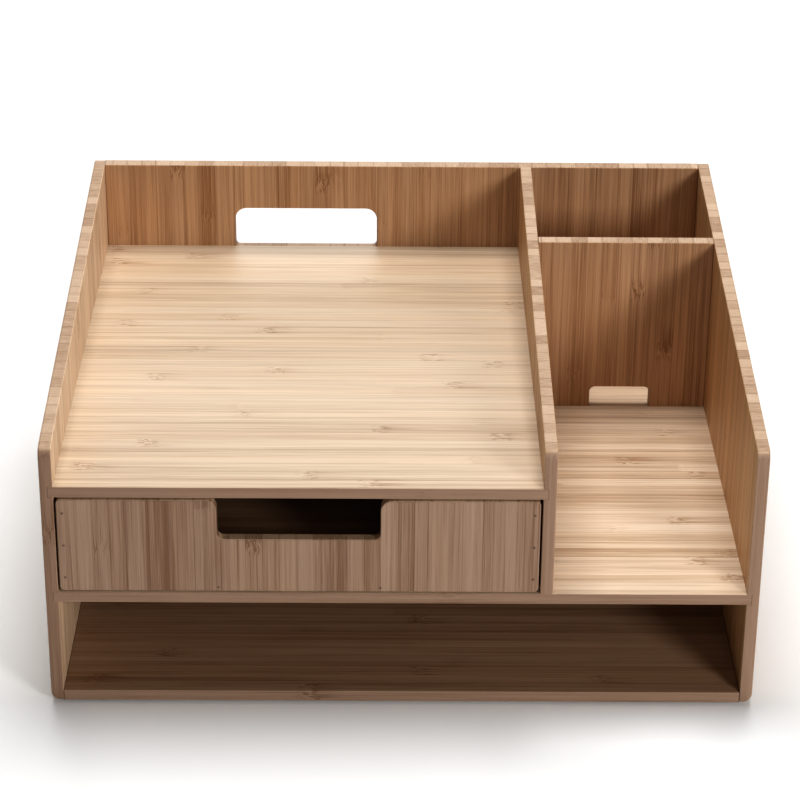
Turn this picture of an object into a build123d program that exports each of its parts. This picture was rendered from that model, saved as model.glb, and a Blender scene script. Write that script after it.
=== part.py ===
"""Bamboo desk organizer: a case of thin boards with a paper tray over one shallow drawer, an open bay
under the whole width, and at the right a stationery bay with a cross divider and a compartment behind it.

All sizes are millimetres. The origin is on the table under the middle of the case, +X points to the
user's right, +Y to the back of the case and +Z up. The drawer is modelled closed.
"""
from build123d import *
import os

# Case
CASE_WIDTH = 400.0
CASE_DEPTH = 340.0
BACK_HEIGHT = 197.0        # the sloped top line at the back of the case, above the table
FRONT_HEIGHT = 163.3       # the same line carried forward to the front of the case
UPRIGHT = 7.2              # thickness of the sides, the back panel and the two dividers
BOARD = 6.6                # thickness of the shelves and of the drawer
FOOT_HEIGHT = 1.5
MID_SHELF_TOP = 73.0
UPPER_SHELF_TOP = 139.7
DIVIDER_OFFSET = 276.85    # left face of the middle divider, from the left face of the case
CROSS_DIVIDER_OFFSET = 233.4   # front face of the cross divider, from the front of the case
GROOVE_DEPTH = 3.0         # the shelves are let into the upright boards by this much

# Rounded corners and sanded edges
EDGE_RADIUS = 0.8          # sanded arris of an exposed edge
OUTER_EDGE_RADIUS = 1.2    # the outline of the two side boards, on their outer faces
SHELF_EDGE_RADIUS = 0.5
FRONT_TOP_RADIUS = 7.0     # upright boards, where the slope turns down to the front
BACK_TOP_RADIUS = 1.3
BOTTOM_OUTER_RADIUS = 5.4  # long bottom edge of the two side boards

# Hand hole in the back panel, measured from the left face of the case
HANDLE_LEFT = 91.3
HANDLE_RIGHT = 183.9
HANDLE_TOP = 166.3
HANDLE_TOP_RADIUS = 7.5
HANDLE_SILL_DROP = 0.8     # the lower edge of the hole is this far under the top of the upper shelf
HANDLE_SILL_RADIUS = 3.0

# Cable notch at the foot of the cross divider, measured from the left face of the case
CABLE_NOTCH_LEFT = 319.6
CABLE_NOTCH_RIGHT = 357.5
CABLE_NOTCH_HEIGHT = 13.8
CABLE_NOTCH_RADIUS = 3.5

# Drawer
DRAWER_SIDE_GAP = 1.1
DRAWER_TOP_GAP = 1.3
DRAWER_BACK_GAP = 0.6
DRAWER_FRONT_LIFT = 1.0    # the lower edge of the drawer front, above the shelf
DRAWER_RUN_GAP = 0.3       # running clearance under the box of the drawer
DRAWER_SIDE_DROP = 2.5     # the sides and back are this much lower than the front
DRAWER_CORNER_RADIUS = 2.6
PULL_WIDTH = 90.4
PULL_DEPTH = 24.5
PULL_SHOULDER_RADIUS = 6.5
PULL_BOTTOM_RADIUS = 3.8

# Steel brads
BRAD_RADIUS = 0.6
BRAD_LENGTH = 20.0
BRAD_HEAD_RADIUS = 0.8
BRAD_HEAD_HEIGHT = 0.8
BRAD_SET = 0.4             # the heads are punched this far below the wood
BRAD_END_MARGIN = 25.0     # from the first or last brad of a row to the end of the board
BRAD_CORNER_MARGIN = 8.5   # the same across the low boards of the drawer
BOTTOM_BRAD_HEIGHT = 5.6   # brads into the bottom panel, just above the rounded edge of the sides

# Anti-slip feet
FOOT_RADIUS = 7.0
FOOT_INSET = 22.0          # centre of a foot, from the outside of the case
FOOT_EDGE_RADIUS = 0.4

SAME = 1e-3                # two positions closer than this are the same

# Planes of the case in its own frame
LEFT = -CASE_WIDTH / 2
RIGHT = CASE_WIDTH / 2
FRONT = -CASE_DEPTH / 2
BACK = CASE_DEPTH / 2
INNER_LEFT = LEFT + UPRIGHT
INNER_RIGHT = RIGHT - UPRIGHT
INNER_BACK = BACK - UPRIGHT
DIVIDER_LEFT = LEFT + DIVIDER_OFFSET
DIVIDER_RIGHT = DIVIDER_LEFT + UPRIGHT
CROSS_FRONT = FRONT + CROSS_DIVIDER_OFFSET
CROSS_BACK = CROSS_FRONT + UPRIGHT
BOTTOM_TOP = FOOT_HEIGHT + BOARD
MID_SHELF_BOTTOM = MID_SHELF_TOP - BOARD
MID_SHELF_MIDDLE = MID_SHELF_TOP - BOARD / 2
UPPER_SHELF_BOTTOM = UPPER_SHELF_TOP - BOARD
UPPER_SHELF_MIDDLE = UPPER_SHELF_TOP - BOARD / 2

# Planes of the closed drawer
DRAWER_LEFT = INNER_LEFT + DRAWER_SIDE_GAP
DRAWER_RIGHT = DIVIDER_LEFT - DRAWER_SIDE_GAP
DRAWER_INNER_LEFT = DRAWER_LEFT + BOARD
DRAWER_INNER_RIGHT = DRAWER_RIGHT - BOARD
DRAWER_INNER_FRONT = FRONT + BOARD
DRAWER_BACK = INNER_BACK - DRAWER_BACK_GAP
DRAWER_INNER_BACK = DRAWER_BACK - BOARD
DRAWER_FRONT_BOTTOM = MID_SHELF_TOP + DRAWER_FRONT_LIFT
DRAWER_FRONT_TOP = UPPER_SHELF_BOTTOM - DRAWER_TOP_GAP
DRAWER_BOTTOM = MID_SHELF_TOP + DRAWER_RUN_GAP
DRAWER_FLOOR = DRAWER_BOTTOM + BOARD
DRAWER_SIDE_TOP = DRAWER_FRONT_TOP - DRAWER_SIDE_DROP


# ---------------------------------------------------------------- shared helpers

def block(x, y, z):
    """Rectangular solid between the given (low, high) planes."""
    spans = (x, y, z)
    size = [high - low for low, high in spans]
    middle = [(low + high) / 2 for low, high in spans]
    return Pos(*middle) * Box(*size)


def edges_on(shape, x=None, y=None, z=None, above=None):
    """Edges that lie in the given planes and, if asked, reach above a height."""
    found = ShapeList()
    for edge in shape.edges():
        box = edge.bounding_box()
        planes = ((x, box.min.X, box.max.X), (y, box.min.Y, box.max.Y), (z, box.min.Z, box.max.Z))
        in_planes = all(at is None or max(abs(low - at), abs(high - at)) < SAME for at, low, high in planes)
        if in_planes and (above is None or box.max.Z > above):
            found.append(edge)
    return found


def slope_height(y):
    """Height of the sloped top line of the case at depth y."""
    return FRONT_HEIGHT + (BACK_HEIGHT - FRONT_HEIGHT) * (y - FRONT) / CASE_DEPTH


def sloped_outline(front, back, bottom):
    """Side view of an upright board whose top follows the slope of the case."""
    corners = [(front, bottom), (back, bottom), (back, slope_height(back)), (front, slope_height(front))]
    return Plane.YZ * make_face(Polyline(*corners, close=True))


def extrude_along_x(outline, left, right):
    return Pos(left, 0, 0) * extrude(outline, right - left, dir=(1, 0, 0))


def extrude_along_y(outline, front, back):
    """Solid from an outline drawn in x and z."""
    return Pos(0, front, 0) * extrude(outline, back - front, dir=(0, 1, 0))


def front_view(corners):
    """Face drawn in x and z, seen from the front."""
    return make_face(Polyline(*[(x, 0, z) for x, z in corners], close=True))


def round_corners(outline, corners, radius):
    """Round the vertices of a front view that lie at the given (x, z) corners."""
    picked = [
        vertex
        for vertex in outline.vertices()
        if any(abs(vertex.X - x) < SAME and abs(vertex.Z - z) < SAME for x, z in corners)
    ]
    return fillet(picked, radius)


def evenly(start, end, count):
    """Evenly spaced values from start to end."""
    step = (end - start) / (count - 1)
    return [start + step * index for index in range(count)]


# ---------------------------------------------------------------- boards of the case

def side_board(outer, inner):
    """Left or right side, between its outer and inner plane, grooved for the shelves."""
    outline = sloped_outline(FRONT, BACK, FOOT_HEIGHT)
    outline = fillet(outline.vertices().sort_by(Axis.Z)[2], FRONT_TOP_RADIUS)
    outline = fillet(outline.vertices().sort_by(Axis.Z)[-1], BACK_TOP_RADIUS)
    board = extrude_along_x(outline, min(outer, inner), max(outer, inner))
    board = fillet(edges_on(board, x=outer, z=FOOT_HEIGHT), BOTTOM_OUTER_RADIUS)
    board = fillet(edges_on(board, x=outer, y=FRONT), OUTER_EDGE_RADIUS)
    return fillet(edges_on(board, x=inner, above=MID_SHELF_TOP), EDGE_RADIUS)


def groove(face, direction, shelf_bottom, shelf_top):
    """Space of a groove for a shelf, cut into an upright board from its face."""
    deep = face + direction * GROOVE_DEPTH
    return block((min(face, deep), max(face, deep)), (FRONT - UPRIGHT, INNER_BACK), (shelf_bottom, shelf_top))


def left_side():
    board = side_board(LEFT, INNER_LEFT)
    board -= groove(INNER_LEFT, -1, MID_SHELF_BOTTOM, MID_SHELF_TOP)
    return board - groove(INNER_LEFT, -1, UPPER_SHELF_BOTTOM, UPPER_SHELF_TOP)


def right_side():
    board = side_board(RIGHT, INNER_RIGHT)
    return board - groove(INNER_RIGHT, 1, MID_SHELF_BOTTOM, MID_SHELF_TOP)


def middle_divider():
    outline = sloped_outline(FRONT, INNER_BACK, MID_SHELF_TOP)
    outline = fillet(outline.vertices().sort_by(Axis.Z)[2], FRONT_TOP_RADIUS)
    board = extrude_along_x(outline, DIVIDER_LEFT, DIVIDER_RIGHT)
    for face in (DIVIDER_LEFT, DIVIDER_RIGHT):
        board = fillet(edges_on(board, x=face, y=FRONT), EDGE_RADIUS)
    return board - groove(DIVIDER_LEFT, 1, UPPER_SHELF_BOTTOM, UPPER_SHELF_TOP)


def back_panel():
    board = extrude_along_x(sloped_outline(INNER_BACK, BACK, FOOT_HEIGHT), INNER_LEFT, INNER_RIGHT)
    for depth in (INNER_BACK, BACK):
        board = fillet(edges_on(board, y=depth, z=slope_height(depth)), EDGE_RADIUS)
    left = LEFT + HANDLE_LEFT
    right = LEFT + HANDLE_RIGHT
    sill = UPPER_SHELF_TOP - HANDLE_SILL_DROP
    sill_corners = [(left, sill), (right, sill)]
    top_corners = [(right, HANDLE_TOP), (left, HANDLE_TOP)]
    hole = front_view(sill_corners + top_corners)
    hole = round_corners(hole, top_corners, HANDLE_TOP_RADIUS)
    hole = round_corners(hole, sill_corners, HANDLE_SILL_RADIUS)
    board -= extrude_along_y(hole, INNER_BACK - UPRIGHT, BACK + UPRIGHT)
    for depth in (INNER_BACK, BACK):
        board = fillet(edges_on(board, y=depth, z=HANDLE_TOP), EDGE_RADIUS)
    return board


def cross_divider():
    outline = sloped_outline(CROSS_FRONT, CROSS_BACK, MID_SHELF_TOP)
    board = extrude_along_x(outline, DIVIDER_RIGHT, INNER_RIGHT)
    for depth in (CROSS_FRONT, CROSS_BACK):
        board = fillet(edges_on(board, y=depth, z=slope_height(depth)), EDGE_RADIUS)
    left = LEFT + CABLE_NOTCH_LEFT
    right = LEFT + CABLE_NOTCH_RIGHT
    top = MID_SHELF_TOP + CABLE_NOTCH_HEIGHT
    below = MID_SHELF_TOP - BOARD
    top_corners = [(right, top), (left, top)]
    notch = front_view([(left, below), (right, below)] + top_corners)
    notch = round_corners(notch, top_corners, CABLE_NOTCH_RADIUS)
    board -= extrude_along_y(notch, CROSS_FRONT - UPRIGHT, CROSS_BACK + UPRIGHT)
    for depth in (CROSS_FRONT, CROSS_BACK):
        board = fillet(edges_on(board, y=depth, z=top), SHELF_EDGE_RADIUS)
    return board


def shelf(left, right, bottom):
    """Horizontal board from the front of the case to the back panel, with sanded front edges."""
    top = bottom + BOARD
    board = block((left, right), (FRONT, INNER_BACK), (bottom, top))
    return fillet(edges_on(board, y=FRONT, z=bottom) + edges_on(board, y=FRONT, z=top), SHELF_EDGE_RADIUS)


def bottom_panel():
    return shelf(INNER_LEFT, INNER_RIGHT, FOOT_HEIGHT)


def mid_shelf():
    return shelf(INNER_LEFT - GROOVE_DEPTH, INNER_RIGHT + GROOVE_DEPTH, MID_SHELF_BOTTOM)


def upper_shelf():
    return shelf(INNER_LEFT - GROOVE_DEPTH, DIVIDER_LEFT + GROOVE_DEPTH, UPPER_SHELF_BOTTOM)


def foot(x, y):
    """Thin rubber pad under the bottom panel."""
    pad = Pos(x, y, FOOT_HEIGHT / 2) * Cylinder(FOOT_RADIUS, FOOT_HEIGHT)
    return fillet(edges_on(pad, z=0), FOOT_EDGE_RADIUS)


# ---------------------------------------------------------------- boards of the drawer

def drawer_front():
    pull_left = (DRAWER_LEFT + DRAWER_RIGHT - PULL_WIDTH) / 2
    pull_right = pull_left + PULL_WIDTH
    pull_bottom = DRAWER_FRONT_TOP - PULL_DEPTH
    bottom_corners = [(DRAWER_LEFT, DRAWER_FRONT_BOTTOM), (DRAWER_RIGHT, DRAWER_FRONT_BOTTOM)]
    top_corners = [(DRAWER_RIGHT, DRAWER_FRONT_TOP), (DRAWER_LEFT, DRAWER_FRONT_TOP)]
    shoulders = [(pull_right, DRAWER_FRONT_TOP), (pull_left, DRAWER_FRONT_TOP)]
    pull_corners = [(pull_right, pull_bottom), (pull_left, pull_bottom)]
    right_half = [top_corners[0], shoulders[0], pull_corners[0]]
    left_half = [pull_corners[1], shoulders[1], top_corners[1]]
    outline = front_view(bottom_corners + right_half + left_half)
    outline = round_corners(outline, bottom_corners + top_corners, DRAWER_CORNER_RADIUS)
    outline = round_corners(outline, shoulders, PULL_SHOULDER_RADIUS)
    outline = round_corners(outline, pull_corners, PULL_BOTTOM_RADIUS)
    board = extrude_along_y(outline, FRONT, DRAWER_INNER_FRONT)
    board = fillet(edges_on(board, y=FRONT, z=DRAWER_FRONT_BOTTOM), EDGE_RADIUS)
    return fillet(edges_on(board, y=DRAWER_INNER_FRONT, z=pull_bottom), SHELF_EDGE_RADIUS)


def drawer_side(left):
    """Side of the drawer, standing on the shelf beside the drawer bottom."""
    right = left + BOARD
    board = block((left, right), (DRAWER_INNER_FRONT, DRAWER_BACK), (DRAWER_BOTTOM, DRAWER_SIDE_TOP))
    top_edges = edges_on(board, x=left, z=DRAWER_SIDE_TOP) + edges_on(board, x=right, z=DRAWER_SIDE_TOP)
    return fillet(top_edges, EDGE_RADIUS)


def drawer_back():
    x = (DRAWER_INNER_LEFT, DRAWER_INNER_RIGHT)
    board = block(x, (DRAWER_INNER_BACK, DRAWER_BACK), (DRAWER_BOTTOM, DRAWER_SIDE_TOP))
    inner_edge = edges_on(board, y=DRAWER_INNER_BACK, z=DRAWER_SIDE_TOP)
    outer_edge = edges_on(board, y=DRAWER_BACK, z=DRAWER_SIDE_TOP)
    return fillet(inner_edge + outer_edge, EDGE_RADIUS)


def drawer_bottom():
    x = (DRAWER_INNER_LEFT, DRAWER_INNER_RIGHT)
    return block(x, (DRAWER_INNER_FRONT, DRAWER_INNER_BACK), (DRAWER_BOTTOM, DRAWER_FLOOR))


# ---------------------------------------------------------------- brads

def brad(point, direction):
    """Headed steel brad, driven from a point on the surface of a board along a direction."""
    place = Plane(origin=point, z_dir=direction)
    bottom = (Align.CENTER, Align.CENTER, Align.MIN)
    head = Pos(0, 0, BRAD_SET) * Cylinder(BRAD_HEAD_RADIUS, BRAD_HEAD_HEIGHT, align=bottom)
    shank = Pos(0, 0, BRAD_SET) * Cylinder(BRAD_RADIUS, BRAD_LENGTH, align=bottom)
    return place * (head + shank)


def brad_hole(point, direction):
    """Space that a brad and its punched head take out of the boards."""
    place = Plane(origin=point, z_dir=direction)
    above = (Align.CENTER, Align.CENTER, Align.CENTER)
    return brad(point, direction) + place * Cylinder(BRAD_HEAD_RADIUS, 2 * BRAD_SET, align=above)


def brads_through_side(outer, direction, shelf_heights, extra):
    """Brads through a side board into the ends of the shelves and of the back panel."""
    along_depth = evenly(FRONT + BRAD_END_MARGIN, INNER_BACK - BRAD_END_MARGIN, 3)
    points = [(outer, y, z) for z in shelf_heights for y in along_depth]
    heights = evenly(FOOT_HEIGHT + BRAD_END_MARGIN, slope_height(BACK) - BRAD_END_MARGIN, 3)
    points += [(outer, BACK - UPRIGHT / 2, z) for z in heights]
    return [(point, (direction, 0, 0)) for point in points + extra]


def cross_divider_points(face):
    """Brad points over the two ends of the cross divider."""
    heights = evenly(MID_SHELF_TOP + BRAD_END_MARGIN, slope_height(CROSS_FRONT) - BRAD_END_MARGIN, 2)
    return [(face, (CROSS_FRONT + CROSS_BACK) / 2, z) for z in heights]


def back_panel_brads():
    """Brads through the back panel into the three shelves and the middle divider."""
    rows = (
        (BOTTOM_BRAD_HEIGHT, INNER_RIGHT),
        (MID_SHELF_MIDDLE, INNER_RIGHT),
        (UPPER_SHELF_MIDDLE, DIVIDER_LEFT),
    )
    points = []
    for height, right in rows:
        xs = evenly(INNER_LEFT + BRAD_END_MARGIN, right - BRAD_END_MARGIN, 4)
        points += [(x, BACK, height) for x in xs]
    divider_x = (DIVIDER_LEFT + DIVIDER_RIGHT) / 2
    heights = evenly(MID_SHELF_TOP + BRAD_END_MARGIN, slope_height(BACK) - BRAD_END_MARGIN, 2)
    points += [(divider_x, BACK, z) for z in heights]
    return [(point, (0, -1, 0)) for point in points]


def middle_divider_brads():
    """Brads from the divider into the upper shelf and the cross divider, and up into its lower edge."""
    along_depth = evenly(FRONT + BRAD_END_MARGIN, INNER_BACK - BRAD_END_MARGIN, 3)
    into_shelf = [(DIVIDER_RIGHT, y, UPPER_SHELF_MIDDLE) for y in along_depth]
    middle = (DIVIDER_LEFT + DIVIDER_RIGHT) / 2
    from_below = [(middle, y, MID_SHELF_BOTTOM) for y in along_depth]
    brads = [(point, (-1, 0, 0)) for point in into_shelf]
    brads += [(point, (0, 0, 1)) for point in from_below]
    return brads + [(point, (1, 0, 0)) for point in cross_divider_points(DIVIDER_LEFT)]


def drawer_front_brads():
    """Brads through the drawer front into the two sides and the bottom."""
    heights = evenly(DRAWER_FRONT_BOTTOM + BRAD_CORNER_MARGIN, DRAWER_FRONT_TOP - BRAD_CORNER_MARGIN, 3)
    points = [(x, FRONT, z) for x in (DRAWER_LEFT + BOARD / 2, DRAWER_RIGHT - BOARD / 2) for z in heights]
    middle = (DRAWER_LEFT + DRAWER_RIGHT) / 2
    points += [(middle + side * PULL_WIDTH / 2, FRONT, DRAWER_BOTTOM + BOARD / 2) for side in (-1, 1)]
    return [(point, (0, 1, 0)) for point in points]


def drawer_box_brads():
    """Brads through the drawer sides into the bottom and the back."""
    brads = []
    for x, direction in ((DRAWER_LEFT, 1), (DRAWER_RIGHT, -1)):
        ys = evenly(DRAWER_INNER_FRONT + BRAD_END_MARGIN, DRAWER_INNER_BACK - BRAD_END_MARGIN, 3)
        points = [(x, y, DRAWER_BOTTOM + BOARD / 2) for y in ys]
        heights = evenly(DRAWER_FLOOR + BRAD_CORNER_MARGIN, DRAWER_SIDE_TOP - BRAD_CORNER_MARGIN, 2)
        points += [(x, DRAWER_BACK - BOARD / 2, z) for z in heights]
        brads += [(point, (direction, 0, 0)) for point in points]
    return brads


# ---------------------------------------------------------------- assembly

def make_boards():
    return {
        "left_side": left_side(),
        "right_side": right_side(),
        "back_panel": back_panel(),
        "bottom_panel": bottom_panel(),
        "mid_shelf": mid_shelf(),
        "upper_shelf": upper_shelf(),
        "middle_divider": middle_divider(),
        "cross_divider": cross_divider(),
        "drawer_front": drawer_front(),
        "drawer_left_side": drawer_side(DRAWER_LEFT),
        "drawer_right_side": drawer_side(DRAWER_INNER_RIGHT),
        "drawer_back": drawer_back(),
        "drawer_bottom": drawer_bottom(),
    }


def make_brad_places():
    left_heights = (BOTTOM_BRAD_HEIGHT, MID_SHELF_MIDDLE, UPPER_SHELF_MIDDLE)
    right_heights = (BOTTOM_BRAD_HEIGHT, MID_SHELF_MIDDLE)
    return {
        "left_side_brads": brads_through_side(LEFT, 1, left_heights, []),
        "right_side_brads": brads_through_side(RIGHT, -1, right_heights, cross_divider_points(RIGHT)),
        "back_panel_brads": back_panel_brads(),
        "middle_divider_brads": middle_divider_brads(),
        "drawer_front_brads": drawer_front_brads(),
        "drawer_box_brads": drawer_box_brads(),
    }


def make_feet():
    feet = {}
    for side, x in (("left", LEFT + FOOT_INSET), ("right", RIGHT - FOOT_INSET)):
        for end, y in (("front", FRONT + FOOT_INSET), ("back", BACK - FOOT_INSET)):
            feet[f"foot_{end}_{side}"] = foot(x, y)
    return feet


def drill_for_brads(board, places):
    """Board with room for every brad that passes through it."""
    extent = board.bounding_box()
    holes = []
    for point, direction in places:
        hole = brad_hole(point, direction)
        reach = hole.bounding_box()
        pairs = (
            (reach.min.X, reach.max.X, extent.min.X, extent.max.X),
            (reach.min.Y, reach.max.Y, extent.min.Y, extent.max.Y),
            (reach.min.Z, reach.max.Z, extent.min.Z, extent.max.Z),
        )
        if all(low < board_high and high > board_low for low, high, board_low, board_high in pairs):
            holes.append(hole)
    return board - holes if holes else board


def main():
    os.makedirs("parts", exist_ok=True)
    brad_places = make_brad_places()
    every_place = [place for places in brad_places.values() for place in places]
    nodes = {name: drill_for_brads(board, every_place) for name, board in make_boards().items()}
    nodes.update(make_feet())
    for name, places in brad_places.items():
        nodes[name] = Compound(children=[brad(point, direction) for point, direction in places])
    for name, shape in nodes.items():
        export_step(shape, f"parts/{name}.step")


main()
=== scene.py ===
"""Looks of the bamboo desk organizer: every board keeps its CAD shape and gets a strip-laminated bamboo
material that follows its own grain. Lengths inside the materials are millimetres, elsewhere metres."""
import math

import bpy
from mathutils import Matrix, Vector


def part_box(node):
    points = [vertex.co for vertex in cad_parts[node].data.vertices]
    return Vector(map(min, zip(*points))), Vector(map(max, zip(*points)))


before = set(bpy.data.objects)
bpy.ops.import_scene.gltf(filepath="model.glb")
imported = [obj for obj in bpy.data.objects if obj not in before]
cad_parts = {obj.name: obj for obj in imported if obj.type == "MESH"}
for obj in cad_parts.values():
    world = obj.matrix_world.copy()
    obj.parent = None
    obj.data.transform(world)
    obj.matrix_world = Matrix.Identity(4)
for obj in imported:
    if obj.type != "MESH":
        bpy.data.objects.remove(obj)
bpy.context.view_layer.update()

# Camera, on a tripod in front of the case
CAMERA_PLACE = (-0.013, -1.467, 0.848)
CAMERA_AZIMUTH = math.radians(0.46)
CAMERA_ELEVATION = math.radians(26.75)
CAMERA_ROLL = math.radians(0.496)
LENS_MM = 121.2
SENSOR_MM = 36.0

# Studio: the place, size and power in watts of each soft box, which all point at the middle of the case
SOFT_BOXES = {
    "overhead": ((0.0, 0.3, 1.8), (1.0, 1.0), 22.6),
    "behind": ((0.0, 1.86, 0.86), (1.6, 0.8), 9.0),
    "key": ((0.9, -1.35, 0.66), (0.4, 0.4), 9.2),
    "front": ((0.0, -2.2, 1.2), (1.2, 0.8), 3.5),
}
CASE_MIDDLE = (0.0, 0.0, 0.1)
WORLD_STRENGTH = 0.07
FLOOR_HALF = 12.0          # from the middle of the floor to its edge

# Bamboo stock, in millimetres
MM = 1000.0
STRIP_WIDTH = 9.4          # one laminated strip
KNUCKLE_SPACING = 290.0    # from one knuckle of a cane to the next
KNUCKLE_LENGTH = 9.0
SMEAR_LENGTH = 26.0        # the fibres run dark for this far on one side of a knuckle
SWIRL_WIDTH = 4.5          # how far aside the fibres bend at a knuckle
JAGGED_END = 4.0           # how far the fibres of one cane reach into the next one
GLUE_LINE = 0.25
END_GLUE_LINE = 0.6        # the same on the cut ends, where it soaks up the lacquer
JOINT_LINE = 0.35          # dark line where the end of a board meets another one
BOARD_BUMP = 0.08          # height of the relief of the fibres

# A surface turns into a cut end, a long edge with painted shade or a rounded arris with a painted highlight
# between these two values of how squarely it faces along the grain, across the strips, or along the axis
# that it faces most
END_FACING = (0.55, 0.80)
FLANK_FACING = (0.30, 0.60)
ARRIS_FACING = (0.80, 0.97)

# Colours, linear
CASE_TONE = (0.495, 0.308, 0.182)
# Painted light: the left side is paler than the other sides, for the key light on its inner face
LIT_SIDE_TONE = (0.77, 0.590, 0.430)
WARM_SIDE_TONE = (0.565, 0.365, 0.200)
TRAY_TONE = (0.60, 0.475, 0.352)
SHELF_TONE = (0.665, 0.530, 0.400)
# Painted shade: the bottom panel is darker, for the shade inside the lower bay
SHADED_BOTTOM_TONE = (0.345, 0.228, 0.150)
# Partly a darker, greyer board, partly painted shade on the drawer front, which faces the front
DRAWER_TONE_AND_SHADE = (0.355, 0.237, 0.165)
# Painted shade: the drawer box is darker, for the shade inside the drawer
SHADED_BOX_TONE = (0.30, 0.187, 0.116)
END_TONE = (0.50, 0.354, 0.245)    # cut ends, whatever the board
SHADED_FLANK_TONE = (0.33, 0.215, 0.147)  # long edges, whatever the board: a painted shade, darker than the faces
DARK_FIBRE = (0.62, 0.53, 0.45)    # the darkest and palest fibres, as factors of a board's tone
PALE_FIBRE = (1.20, 1.26, 1.32)
DARK_LINE = (0.50, 0.38, 0.29)     # thin bundles of dark fibres, in the same way
GLUE_TINT = (0.45, 0.35, 0.27)
WARM_TINT = (1.0, 0.94, 0.86)      # some strips are a little warmer than others
JOINT_TINT = (0.20, 0.14, 0.10)
ARRIS_HIGHLIGHT_TINT = (1.30, 1.34, 1.38)    # painted highlight: the rounded edges are a little paler, where the lacquer catches the light

# The darkest and palest tone of what isn't wood
BRAD_TONES = ((0.170, 0.105, 0.070), (0.30, 0.21, 0.15))
RUBBER_TONES = ((0.012, 0.012, 0.013), (0.030, 0.029, 0.028))
FLOOR_TONES = ((0.88, 0.88, 0.88), (0.91, 0.91, 0.91))


def tinted(tone, factors):
    """A tone with its red, green and blue each multiplied by a factor."""
    return tuple(min(1.0, value * factor) for value, factor in zip(tone, factors))


class Graph:
    """A node material written as formulas: each method adds nodes and returns the output of the last one."""

    def __init__(self, name):
        self.material = bpy.data.materials.new(name)
        self.material.use_nodes = True
        self.tree = self.material.node_tree
        self.tree.nodes.clear()

    def node(self, kind, inputs=(), output=0, **settings):
        made = self.tree.nodes.new(kind)
        for key, value in settings.items():
            setattr(made, key, value)
        for key, value in dict(inputs).items():
            self.feed(made.inputs[key], value)
        return made.outputs[output] if made.outputs else None

    def feed(self, socket, value):
        if isinstance(value, bpy.types.NodeSocket):
            self.tree.links.new(value, socket)
        elif socket.type == "RGBA":
            socket.default_value = (*value, 1.0)
        else:
            socket.default_value = value

    def math(self, operation, a, b=0.0, c=0.0):
        return self.node("ShaderNodeMath", {0: a, 1: b, 2: c}, operation=operation)

    def add(self, *terms):
        total = terms[0]
        for term in terms[1:]:
            total = self.math("ADD", total, term)
        return total

    def times(self, *factors):
        product = factors[0]
        for factor in factors[1:]:
            product = self.math("MULTIPLY", product, factor)
        return product

    def less(self, a, b):
        return self.math("SUBTRACT", a, b)

    def scaled(self, a, factor, offset):
        return self.math("MULTIPLY_ADD", a, factor, offset)

    def blend(self, factor, a, b):
        return self.add(a, self.times(factor, self.less(b, a)))

    def centred(self, value, factor):
        """A value around 0.5 turned into one around 0, and scaled."""
        return self.scaled(value, factor, -0.5 * factor)

    def rise(self, value, low, high):
        """0 below low, 1 above high, smooth between them."""
        inputs = {"Value": value, "From Min": low, "From Max": high}
        return self.node("ShaderNodeMapRange", inputs, interpolation_type="SMOOTHSTEP")

    def fall(self, value, low, high):
        """1 below low, 0 above high, smooth between them."""
        inputs = {"Value": value, "From Min": low, "From Max": high, "To Min": 1.0, "To Max": 0.0}
        return self.node("ShaderNodeMapRange", inputs, interpolation_type="SMOOTHSTEP")

    def vector(self, x, y, z=0.0):
        return self.node("ShaderNodeCombineXYZ", {0: x, 1: y, 2: z})

    def noise(self, vector, scale=1.0, detail=2.0, roughness=0.5):
        inputs = {"Vector": vector, "Scale": scale, "Detail": detail, "Roughness": roughness}
        return self.node("ShaderNodeTexNoise", inputs)

    def random(self, number, seed):
        """Three random values, x, y and z, for a whole number."""
        inputs = {"Vector": self.vector(number, seed)}
        return self.split(self.node("ShaderNodeTexWhiteNoise", inputs, "Color", noise_dimensions="2D"))

    def split(self, vector):
        parts = self.tree.nodes.new("ShaderNodeSeparateXYZ")
        self.feed(parts.inputs[0], vector)
        return dict(zip("xyz", parts.outputs))

    def ramp(self, value, stops):
        made = self.tree.nodes.new("ShaderNodeValToRGB")
        elements = made.color_ramp.elements
        while len(elements) < len(stops):
            elements.new(0.5)
        for element, (position, colour) in zip(elements, stops):
            element.position = position
            element.color = (*colour, 1.0)
        self.feed(made.inputs[0], value)
        return made.outputs[0]

    def cloudy(self, noise, tones):
        """A colour that wanders between two tones."""
        dark, pale = tones
        return self.ramp(noise, ((0.3, dark), (0.7, pale)))

    def mix(self, factor, a, b, blend="MIX"):
        made = self.tree.nodes.new("ShaderNodeMix")
        made.data_type = "RGBA"
        made.blend_type = blend
        made.clamp_result = True
        self.feed(made.inputs[0], factor)
        self.feed(made.inputs[6], a)
        self.feed(made.inputs[7], b)
        return made.outputs[2]

    def place_mm(self):
        """Position in the row frame, in millimetres."""
        place = self.node("ShaderNodeTexCoord", output="Object")
        return self.node("ShaderNodeVectorMath", {0: place, "Scale": MM}, operation="SCALE")

    def facing(self):
        """Components of the surface normal, without their sign."""
        normal = self.node("ShaderNodeTexCoord", output="Normal")
        return self.split(self.node("ShaderNodeVectorMath", {0: normal}, operation="ABSOLUTE"))

    def finish(self, colour, roughness, height, bump_mm, **shader_inputs):
        bump = self.node("ShaderNodeBump", {"Height": height, "Distance": bump_mm / MM, "Strength": 1.0})
        inputs = {"Base Color": colour, "Roughness": roughness, "Normal": bump, **shader_inputs}
        shader = self.node("ShaderNodeBsdfPrincipled", inputs)
        self.node("ShaderNodeOutputMaterial", {"Surface": shader})
        return self.material


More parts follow.
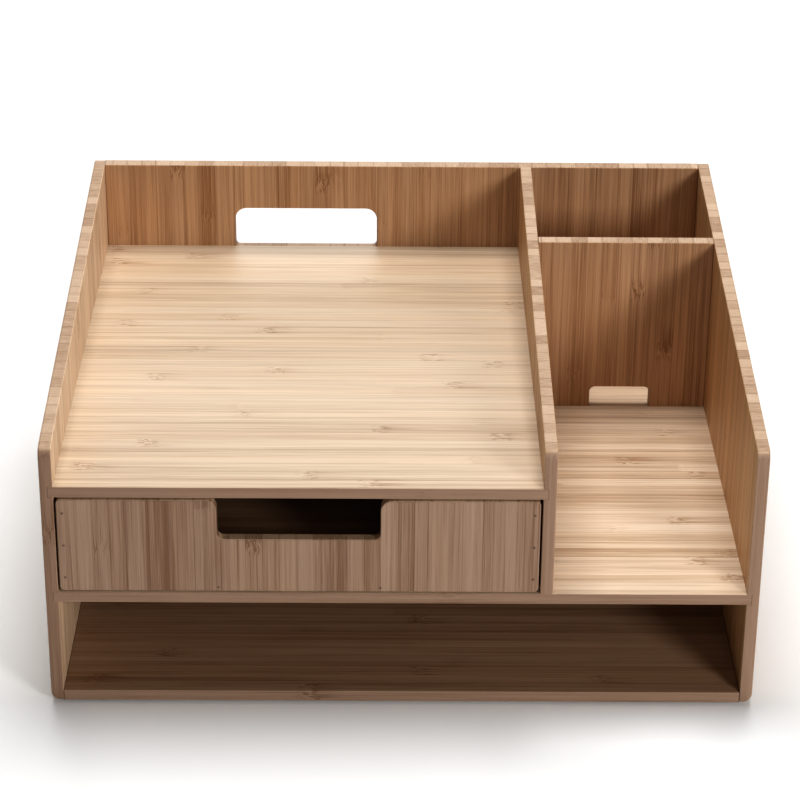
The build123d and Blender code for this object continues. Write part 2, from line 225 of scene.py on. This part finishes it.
class Bamboo(Graph):
    """Side-pressed bamboo board. grain is the axis that the fibres follow, and across the one that the
    strips lie side by side on."""

    def __init__(self, name, grain, across, seed):
        super().__init__(name)
        self.seed = seed
        place = self.split(self.place_mm())
        facing = self.facing()
        depth_axis = ({"x", "y", "z"} - {grain, across}).pop()
        self.along = place[grain]
        self.width = place[across]
        self.depth = place[depth_axis]
        self.place_x = place["x"]
        self.end = self.rise(facing[grain], *END_FACING)
        self.flank = self.rise(facing[across], *FLANK_FACING)
        largest = self.math("MAXIMUM", self.math("MAXIMUM", facing["x"], facing["y"]), facing["z"])
        self.arris = self.fall(largest, *ARRIS_FACING)

    def lay_strips(self):
        strips = self.scaled(self.width, 1.0 / STRIP_WIDTH, self.seed * 0.37)
        self.index = self.math("FLOOR", strips)
        self.in_strip = self.math("FRACT", strips)
        self.chance = self.random(self.index, self.seed)
        self.more_chance = self.random(self.index, self.seed + 50.0)
        self.strip_offset = self.scaled(self.index, 13.7, self.seed * 5.1)  # no two strips share their noise
        to_edge = self.less(0.5, self.math("ABSOLUTE", self.less(self.in_strip, 0.5)))
        from_edge = self.times(to_edge, STRIP_WIDTH)
        line = self.fall(from_edge, GLUE_LINE * 0.4, GLUE_LINE * 1.6)
        self.glue = self.times(line, self.scaled(self.more_chance["y"], 0.38, 0.04))
        end_line = self.fall(from_edge, END_GLUE_LINE * 0.3, END_GLUE_LINE * 1.7)
        self.end_glue = self.times(end_line, self.scaled(self.more_chance["z"], 0.55, 0.0))

    def grow_knuckles(self):
        """Every strip is a row of canes. Where two meet, the fibres swirl, and the tone changes there."""
        canes = self.scaled(self.along, 1.0 / KNUCKLE_SPACING, self.times(self.chance["y"], 9.0))
        number = self.math("ROUND", canes)
        self.past_knuckle = self.times(self.less(canes, number), KNUCKLE_SPACING)
        knuckle_chance = self.chance_along(number, 31.0, 70.0)
        self.strength = self.scaled(self.rise(knuckle_chance["x"], 0.15, 0.75), 0.8, 0.2)
        near = self.fall(self.math("ABSOLUTE", self.past_knuckle), KNUCKLE_LENGTH * 0.2, KNUCKLE_LENGTH)
        self.knuckle = self.times(near, self.strength)
        swirl = self.centred(self.coarse_noise(0.14, 0.30), 1.0)
        self.bent_width = self.add(self.width, self.times(swirl, self.knuckle, SWIRL_WIDTH))
        jag = self.centred(self.coarse_noise(0.03, 1.6), 2.0 * JAGGED_END / KNUCKLE_SPACING)
        self.cane_chance = self.chance_along(self.math("FLOOR", self.add(canes, jag)), 17.0, 90.0)

    def chance_along(self, number, spread, kind):
        """Random values for each numbered stretch of each strip. spread and kind keep two uses apart."""
        return self.random(self.scaled(number, spread, self.index), self.seed + kind)

    def coarse_noise(self, per_length, per_width):
        """Noise on the plain strips, before the knuckles bend their fibres."""
        along = self.times(self.along, per_length)
        return self.noise(self.vector(along, self.times(self.width, per_width), self.strip_offset))

    def fibres(self, length, thickness, detail=3.0, roughness=0.6, offset=0.0):
        """Noise drawn out along the grain: fibres of about this length and thickness. Another offset gives
        other fibres."""
        place = self.vector(
            self.scaled(self.along, 1.0 / length, self.add(self.strip_offset, offset)),
            self.times(self.bent_width, 1.0 / thickness),
            self.times(self.depth, 1.0 / thickness),
        )
        return self.noise(place, detail=detail, roughness=roughness)

    def draw_fibres(self):
        """Broad bands, long streaks and fine hairs."""
        bands = self.fibres(300.0, 4.5, detail=2.0, roughness=0.5)
        self.streaks = self.fibres(190.0, 1.9, detail=4.0, offset=3.1)
        self.hairs = self.fibres(40.0, 0.55, offset=7.7)
        fine = self.add(self.centred(self.streaks, 1.25), self.centred(self.hairs, 1.1))
        return self.add(self.centred(bands, 0.9), fine)

    def knuckle_marks(self):
        """Dark specks on a pale flame, and a dark smear on one side of the knuckle."""
        flame = self.rise(self.fibres(11.0, 2.2, detail=1.0, offset=1.3), 0.45, 0.62)
        specks = self.rise(self.fibres(5.0, 0.8, detail=2.0, offset=5.9), 0.50, 0.60)
        marks = self.times(self.less(self.times(flame, 0.10), self.times(specks, 0.78)), self.knuckle)
        fading = self.fall(self.past_knuckle, 4.0, SMEAR_LENGTH)
        smear = self.times(self.rise(self.past_knuckle, 0.0, 5.0), fading)
        streaked = self.rise(self.fibres(45.0, 1.6, detail=2.0, offset=9.3), 0.42, 0.62)
        return self.less(marks, self.times(smear, streaked, self.strength, 0.42))

    def tone_value(self, fibre_contrast, strip_contrast):
        """Where each point lies between the darkest fibres, 0, and the palest, 1."""
        tone = self.scaled(self.draw_fibres(), fibre_contrast, 0.5)
        slant = self.times(self.centred(self.in_strip, 1.0), self.centred(self.chance["z"], 1.0))
        strip = self.add(
            self.centred(self.chance["x"], 0.8),
            self.centred(self.cane_chance["x"], 0.55),
            self.times(slant, 0.9),
        )
        marks = self.times(self.knuckle_marks(), fibre_contrast)
        return self.add(tone, self.times(strip, strip_contrast), marks)

    def fine_lines(self):
        """Thin dark bundles of fibres, here and there: crisp long ones and shorter faint ones."""
        long_lines = self.rise(self.fibres(230.0, 1.3, detail=2.0, roughness=0.5, offset=2.2), 0.59, 0.69)
        short_lines = self.rise(self.fibres(70.0, 0.8, detail=2.0, roughness=0.5, offset=4.6), 0.56, 0.68)
        return self.add(self.times(long_lines, 0.42), self.times(short_lines, 0.26))

    def pale_lines_and_highlights(self):
        """Thin pale lines between the dark ones: partly pale bundles of fibres, partly painted highlights.
        """
        lines = self.rise(self.fibres(210.0, 1.2, detail=2.0, roughness=0.5, offset=6.4), 0.58, 0.68)
        return self.times(lines, 0.5)

    def end_blocks(self):
        """Cut ends: each strip is a block dotted with the ends of its fibre bundles."""
        place = self.vector(self.add(self.width, self.strip_offset), self.depth)
        spots = self.node("ShaderNodeTexVoronoi", {"Vector": place, "Scale": 1.7}, "Distance")
        self.dots = self.fall(spots, 0.18, 0.42)
        rays = self.noise(self.vector(self.times(self.width, 1.6), self.times(self.depth, 0.15)))
        tone = self.add(0.52, self.centred(self.chance["z"], 0.62), self.centred(rays, 1.2))
        colour = self.tone_colour(tone, END_TONE)
        return self.mix(self.times(self.dots, 0.30), colour, tinted(END_TONE, DARK_FIBRE))

    def tone_colour(self, tone, middle):
        stops = ((0.0, tinted(middle, DARK_FIBRE)), (0.5, middle), (1.0, tinted(middle, PALE_FIBRE)))
        return self.ramp(tone, stops)

    def joint_lines(self, joints):
        """Dark lines at the given x planes, in millimetres."""
        lines = 0.0
        for joint in joints:
            distance = self.math("ABSOLUTE", self.less(self.place_x, joint))
            line = self.fall(distance, JOINT_LINE * 0.5, JOINT_LINE * 1.5)
            lines = self.math("MAXIMUM", lines, line)
        return lines

    def face_colour(self, value, tone, fibre_contrast):
        """The wide faces: some strips warmer, with dark and pale lines."""
        plain = self.tone_colour(value, tone)
        warm = self.mix(1.0, plain, WARM_TINT, "MULTIPLY")
        face = self.mix(self.times(self.more_chance["x"], 0.6), plain, warm)
        face = self.mix(self.times(self.fine_lines(), fibre_contrast), face, tinted(tone, DARK_LINE))
        # Partly pale fibres, partly painted highlights: the pale lines take the palest fibre tone
        return self.mix(self.times(self.pale_lines_and_highlights(), fibre_contrast), face, tinted(tone, PALE_FIBRE))

    def board_relief(self, glue):
        """Raised fibres, calm round the knuckles, and sunken glue lines and dots."""
        fibres = self.add(self.centred(self.streaks, 1.0), self.centred(self.hairs, 0.6))
        fibres = self.times(fibres, self.scaled(self.knuckle, -0.8, 1.0))
        sunken = self.add(self.times(glue, 0.5), self.times(self.dots, self.end, 0.5))
        return self.less(fibres, sunken)

    def board(self, tone, fibre_contrast, strip_contrast, joints=()):
        """The finished material, with dark lines at the x planes of the joints."""
        self.lay_strips()
        self.grow_knuckles()
        value = self.tone_value(fibre_contrast, strip_contrast)
        face = self.face_colour(value, tone, fibre_contrast)
        # Painted shade: the long edges take the darker flank tone
        colour = self.mix(self.flank, face, self.tone_colour(value, SHADED_FLANK_TONE))
        colour = self.mix(self.end, colour, self.end_blocks())
        glue = self.blend(self.end, self.glue, self.end_glue)
        glue_tone = self.mix(self.end, tinted(tone, GLUE_TINT), tinted(END_TONE, GLUE_TINT))
        colour = self.mix(glue, colour, glue_tone)
        # Painted highlight: the rounded arrises are paler
        colour = self.mix(self.times(self.arris, 0.5), colour, self.mix(1.0, colour, ARRIS_HIGHLIGHT_TINT, "MULTIPLY"))
        if joints:
            colour = self.mix(self.times(self.joint_lines(joints), 0.75), colour, tinted(tone, JOINT_TINT))
        satin = self.scaled(self.hairs, 0.16, 0.40)
        roughness = self.add(satin, self.times(self.end, 0.14), self.times(self.arris, 0.06))
        lacquer = {"Specular IOR Level": 0.35, "Coat Weight": 0.05, "Coat Roughness": 0.4}
        return self.finish(colour, roughness, self.board_relief(glue), BOARD_BUMP, **lacquer)


def brad_steel():
    """Dull bronzed steel of the punched brad heads."""
    g = Graph("brad_steel")
    stain = g.noise(g.place_mm(), scale=1.4, detail=3.0)
    colour = g.cloudy(stain, BRAD_TONES)
    return g.finish(colour, g.scaled(stain, 0.3, 0.42), stain, bump_mm=0.03, Metallic=0.2)


def foot_rubber():
    """Matte black rubber with a fine moulded tooth."""
    g = Graph("foot_rubber")
    tooth = g.noise(g.place_mm(), scale=2.5, detail=4.0)
    colour = g.cloudy(tooth, RUBBER_TONES)
    return g.finish(colour, g.scaled(tooth, 0.2, 0.65), tooth, bump_mm=0.05)


def floor_paint():
    """Plain pale floor, very slightly uneven."""
    g = Graph("floor_paint")
    cloud = g.noise(g.place_mm(), scale=0.004, detail=3.0)
    colour = g.cloudy(cloud, FLOOR_TONES)
    return g.finish(colour, g.scaled(cloud, 0.1, 0.75), cloud, bump_mm=0.05)


# Every board: the seed of its pattern, the axis of its grain, the axis its strips lie side by side on, its
# tone, with painted light or shade in some, and how much its fibres and its strips differ
BOARD_LOOKS = {
    "left_side": (1, "z", "y", LIT_SIDE_TONE, 0.8, 0.35),
    "right_side": (2, "z", "y", WARM_SIDE_TONE, 0.9, 0.40),
    "middle_divider": (3, "z", "y", WARM_SIDE_TONE, 0.9, 0.40),
    "back_panel": (27, "z", "x", CASE_TONE, 1.0, 0.38),
    "cross_divider": (5, "z", "x", CASE_TONE, 1.0, 0.40),
    "bottom_panel": (6, "x", "y", SHADED_BOTTOM_TONE, 0.9, 0.40),
    "mid_shelf": (7, "x", "y", SHELF_TONE, 0.8, 0.40),
    "upper_shelf": (8, "x", "y", TRAY_TONE, 0.65, 0.30),
    "drawer_front": (9, "z", "x", DRAWER_TONE_AND_SHADE, 1.0, 0.50),
    "drawer_left_side": (10, "y", "z", SHADED_BOX_TONE, 0.9, 0.40),
    "drawer_right_side": (11, "y", "z", SHADED_BOX_TONE, 0.9, 0.40),
    "drawer_back": (12, "x", "z", SHADED_BOX_TONE, 0.9, 0.40),
    "drawer_bottom": (13, "x", "y", SHADED_BOX_TONE, 0.9, 0.40),
}
JOINED_AT_BOTH_ENDS = ("back_panel", "cross_divider", "bottom_panel", "mid_shelf", "upper_shelf")


def dress(node, material):
    """Give a CAD node its material."""
    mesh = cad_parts[node].data
    mesh.materials.clear()
    mesh.materials.append(material)


def dress_boards():
    for node, look in BOARD_LOOKS.items():
        seed, grain, across, tone, fibre_contrast, strip_contrast = look
        joints = [corner.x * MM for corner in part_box(node)] if node in JOINED_AT_BOTH_ENDS else ()
        board = Bamboo(f"bamboo_{node}", grain, across, float(seed))
        dress(node, board.board(tone, fibre_contrast, strip_contrast, joints))


def dress_hardware():
    steel = brad_steel()
    rubber = foot_rubber()
    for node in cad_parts:
        if node.endswith("_brads"):
            dress(node, steel)
        elif node.startswith("foot_"):
            dress(node, rubber)


def make_floor():
    mesh = bpy.data.meshes.new("floor")
    signs = ((-1, -1), (1, -1), (1, 1), (-1, 1))
    mesh.from_pydata([(x * FLOOR_HALF, y * FLOOR_HALF, 0.0) for x, y in signs], [], [(0, 1, 2, 3)])
    mesh.materials.append(floor_paint())
    floor = bpy.data.objects.new("floor", mesh)
    bpy.context.scene.collection.objects.link(floor)


def make_camera():
    forward = Vector((
        math.sin(CAMERA_AZIMUTH) * math.cos(CAMERA_ELEVATION),
        math.cos(CAMERA_AZIMUTH) * math.cos(CAMERA_ELEVATION),
        -math.sin(CAMERA_ELEVATION),
    ))
    level_right = forward.cross(Vector((0.0, 0.0, 1.0))).normalized()
    level_up = level_right.cross(forward)
    right = level_right * math.cos(CAMERA_ROLL) + level_up * math.sin(CAMERA_ROLL)
    up = level_up * math.cos(CAMERA_ROLL) - level_right * math.sin(CAMERA_ROLL)
    data = bpy.data.cameras.new("camera")
    data.lens = LENS_MM
    data.sensor_width = SENSOR_MM
    camera = bpy.data.objects.new("camera", data)
    turn = Matrix((right, up, -forward)).transposed().to_4x4()
    camera.matrix_world = Matrix.Translation(CAMERA_PLACE) @ turn
    bpy.context.scene.collection.objects.link(camera)
    bpy.context.scene.camera = camera


def soft_light(name, place, size, power):
    """A soft box that points at the middle of the case."""
    data = bpy.data.lights.new(name, "AREA")
    data.shape = "RECTANGLE"
    data.size, data.size_y = size
    data.energy = power
    light = bpy.data.objects.new(name, data)
    direction = Vector(CASE_MIDDLE) - Vector(place)
    light.rotation_mode = "QUATERNION"
    light.rotation_quaternion = direction.to_track_quat("-Z", "Y")
    light.location = place
    light.visible_camera = False
    bpy.context.scene.collection.objects.link(light)


def make_lights():
    for name, (place, size, power) in SOFT_BOXES.items():
        soft_light(name, place, size, power)
    world = bpy.data.worlds.new("studio")
    world.use_nodes = True
    background = world.node_tree.nodes["Background"]
    background.inputs["Color"].default_value = (1.0, 1.0, 1.0, 1.0)
    background.inputs["Strength"].default_value = WORLD_STRENGTH
    scene = bpy.context.scene
    scene.world = world
    scene.view_settings.view_transform = "Standard"
    scene.view_settings.look = "High Contrast"


dress_boards()
dress_hardware()
make_floor()
make_camera()
make_lights()
